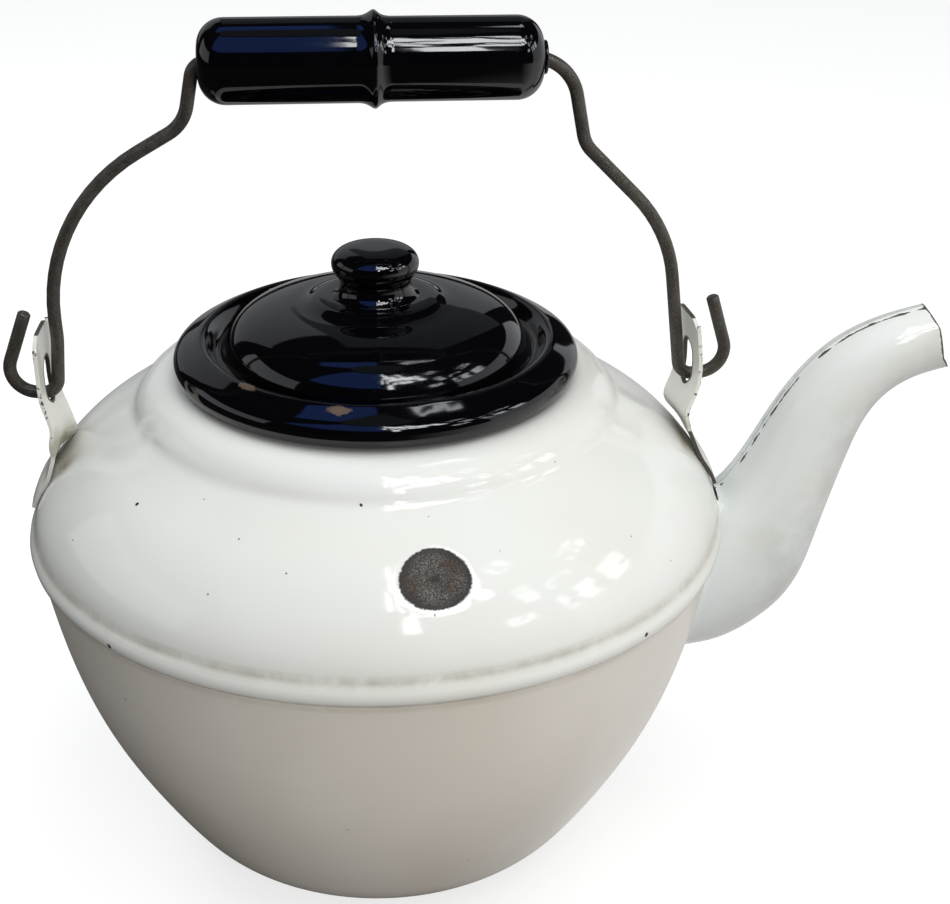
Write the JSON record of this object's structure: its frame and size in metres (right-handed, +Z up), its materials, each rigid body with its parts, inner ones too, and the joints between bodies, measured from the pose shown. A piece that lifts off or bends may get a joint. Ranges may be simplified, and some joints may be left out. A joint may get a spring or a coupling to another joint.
{
  "type": "kettle",
  "caption": "Round enamelled sheet-steel kettle with a rolled belly seam, swan-neck spout, swinging wire bail with hollow grip, and lift-off domed lid with knob.",
  "frame": {"origin": "centre of the flat base, on the surface the kettle stands on", "axes": "+X towards the spout, -Y is the side the picture shows, +Z up"},
  "size_m": [0.2954, 0.22, 0.2703],
  "materials": {
    "white_enamel": "glossy vitreous enamel on sheet steel",
    "black_enamel": "glossy black vitreous enamel on sheet steel",
    "iron_wire": "dull grey-brown drawn iron wire"
  },
  "bodies": {
    "kettle": {"bowl": "white_enamel", "shoulder": "white_enamel", "spout_near_half": "white_enamel", "spout_far_half": "white_enamel", "ear_front": "white_enamel", "ear_rear": "white_enamel"},
    "bail": {"bail_wire": "iron_wire"},
    "grip": {"grip_rear_shell": "black_enamel", "grip_front_shell": "black_enamel"},
    "lid": {"lid_shell": "black_enamel", "lid_skirt": "black_enamel", "lid_knob": "black_enamel"}
  },
  "joints": [
    {"name": "bail_swing", "type": "hinge", "parent": "kettle", "child": "bail", "pos_m": [0, 0, 0.1554], "axis": [1, 0, 0], "range_deg": [-91, 91]},
    {"name": "grip_spin", "type": "hinge", "parent": "bail", "child": "grip", "pos_m": [0, 0, 0.2562], "axis": [1, 0, 0], "continuous": true},
    {"name": "lid_lift", "type": "slide", "parent": "kettle", "child": "lid", "axis": [0, 0, 1], "range_m": [0, 0.035]}
  ]
}
